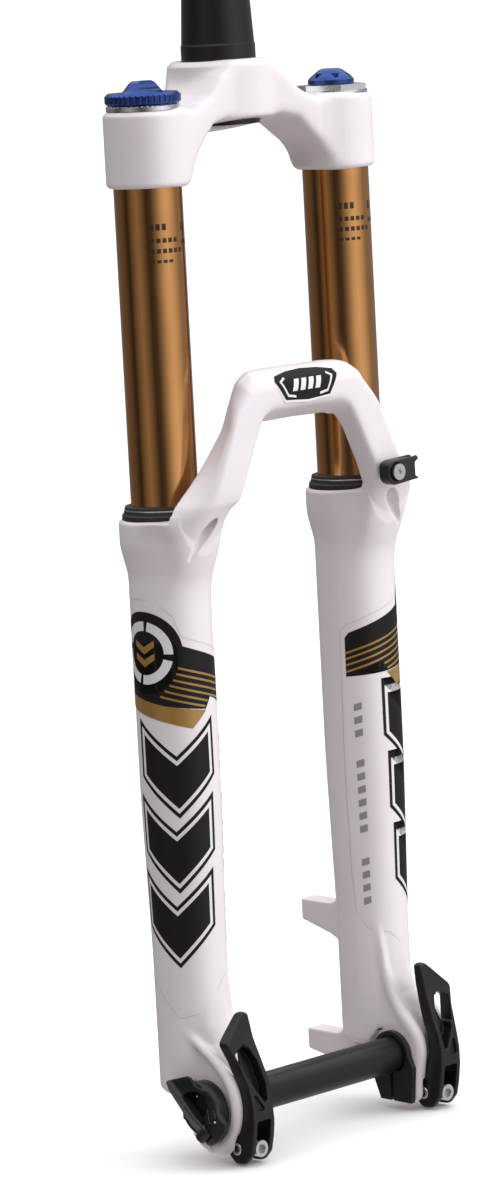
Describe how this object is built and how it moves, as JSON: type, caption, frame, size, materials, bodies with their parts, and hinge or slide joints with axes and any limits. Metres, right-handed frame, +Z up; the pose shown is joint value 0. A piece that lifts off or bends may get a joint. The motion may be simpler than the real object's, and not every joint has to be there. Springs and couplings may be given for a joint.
{
  "type": "suspension fork",
  "caption": "Single-crown telescopic suspension fork with tapered steerer, through axle, pinch levers and post brake mounts.",
  "frame": {"origin": "centre of the crown race seat, on the steerer axis", "axes": "+Z up the steerer, -Y to the front of the bicycle, +X to the brake side (the rider's left)"},
  "size_m": [0.1948, 0.1023, 0.778],
  "materials": {
    "crown_paint": "gloss white paint",
    "casting_paint": "gloss white paint",
    "steerer_anodised": "black anodised",
    "tube_coating": "bronze-gold hard coating, ground and polished",
    "adjuster_blue": "blue anodised",
    "machined_silver": "machined",
    "valve_brass": "machined",
    "lever_black": "satin black anodised",
    "axle_anodised": "satin black anodised",
    "bolt_steel": "zinc plated",
    "pin_dark": "black oxide",
    "seal_rubber": "moulded",
    "spring_steel": "drawn wire",
    "foam": "open-cell foam",
    "bushing_bronze": "sintered",
    "inner_alloy": "turned",
    "washer_copper": "soft",
    "liner_black": "moulded"
  },
  "bodies": {
    "uppers": {"steerer_tube": "steerer_anodised", "crown": "crown_paint", "stanchion_brake_side": "tube_coating", "stanchion_damper_side": "tube_coating", "damper_top_cap": "machined_silver", "damper_cartridge": "inner_alloy", "cartridge_seal_head": "inner_alloy", "base_valve": "inner_alloy", "spring_top_cap": "machined_silver", "air_valve": "valve_brass", "air_seal_head": "inner_alloy", "seal_head_ring": "spring_steel"},
    "high_speed_ring": {"high_speed_ring": "adjuster_blue"},
    "low_speed_knob": {"low_speed_knob": "adjuster_blue"},
    "air_cap": {"air_cap": "adjuster_blue"},
    "lowers": {"lower_casting": "casting_paint", "dust_seal_brake_side": "seal_rubber", "dust_seal_damper_side": "seal_rubber", "garter_spring_brake_side": "spring_steel", "garter_spring_damper_side": "spring_steel", "foam_ring_brake_side": "foam", "foam_ring_damper_side": "foam", "upper_bushing_brake_side": "bushing_bronze", "upper_bushing_damper_side": "bushing_bronze", "lower_bushing_brake_side": "bushing_bronze", "lower_bushing_damper_side": "bushing_bronze", "damper_shaft": "inner_alloy", "damper_piston": "inner_alloy", "air_shaft": "inner_alloy", "air_piston": "inner_alloy", "top_out_bumper": "seal_rubber", "crush_washers": "washer_copper", "foot_nuts": "bolt_steel", "dropout_liner_brake_side": "liner_black", "dropout_liner_damper_side": "liner_black", "lever_pin_brake_side": "pin_dark", "lever_pin_damper_side": "pin_dark", "pinch_bolt_brake_side": "bolt_steel", "pinch_bolt_damper_side": "bolt_steel", "hose_guide": "liner_black", "guide_screw": "bolt_steel"},
    "rebound_knob": {"rebound_knob": "adjuster_blue"},
    "axle": {"axle_tube": "axle_anodised"},
    "axle_knob": {"axle_knob": "lever_black", "handle_pin": "bolt_steel"},
    "flip_handle": {"flip_handle": "lever_black"},
    "brake_side_lever": {"pinch_lever_brake_side": "lever_black"},
    "damper_side_lever": {"pinch_lever_damper_side": "lever_black"}
  },
  "joints": [
    {"name": "fork_travel", "type": "slide", "parent": "uppers", "child": "lowers", "axis": [0, 0, 1], "range_m": [0, 0.16], "stiffness_N_per_m": 5500, "springref_m": -0.02},
    {"name": "high_speed_adjust", "type": "hinge", "parent": "uppers", "child": "high_speed_ring", "pos_m": [-0.07, -0.014, -0.015], "axis": [0, 0, 1], "range_deg": [0, 300]},
    {"name": "low_speed_adjust", "type": "hinge", "parent": "uppers", "child": "low_speed_knob", "pos_m": [-0.07, -0.014, -0.012], "axis": [0, 0, 1], "range_deg": [0, 300]},
    {"name": "air_cap_unscrew", "type": "hinge", "parent": "uppers", "child": "air_cap", "pos_m": [0.07, -0.014, -0.014], "axis": [0, 0, 1], "continuous": true},
    {"name": "rebound_adjust", "type": "hinge", "parent": "lowers", "child": "rebound_knob", "pos_m": [-0.07, -0.014, -0.558], "axis": [0, 0, 1], "range_deg": [0, 300]},
    {"name": "axle_pull", "type": "slide", "parent": "lowers", "child": "axle", "axis": [-1, 0, 0], "range_m": [0, 0.3]},
    {"name": "axle_turn", "type": "hinge", "parent": "axle", "child": "axle_knob", "pos_m": [-0.088, -0.0374, -0.549], "axis": [-1, 0, 0], "continuous": true},
    {"name": "handle_flip", "type": "hinge", "parent": "axle_knob", "child": "flip_handle", "pos_m": [-0.094, -0.04558, -0.5591], "axis": [0, -0.7771, 0.6293], "range_deg": [0, 90]},
    {"name": "brake_lever_open", "type": "hinge", "parent": "lowers", "child": "brake_side_lever", "pos_m": [0.072, -0.0525, -0.5705], "axis": [1, 0, 0], "range_deg": [0, 90]},
    {"name": "damper_lever_open", "type": "hinge", "parent": "lowers", "child": "damper_side_lever", "pos_m": [-0.072, -0.0525, -0.5705], "axis": [1, 0, 0], "range_deg": [0, 90]}
  ]
}
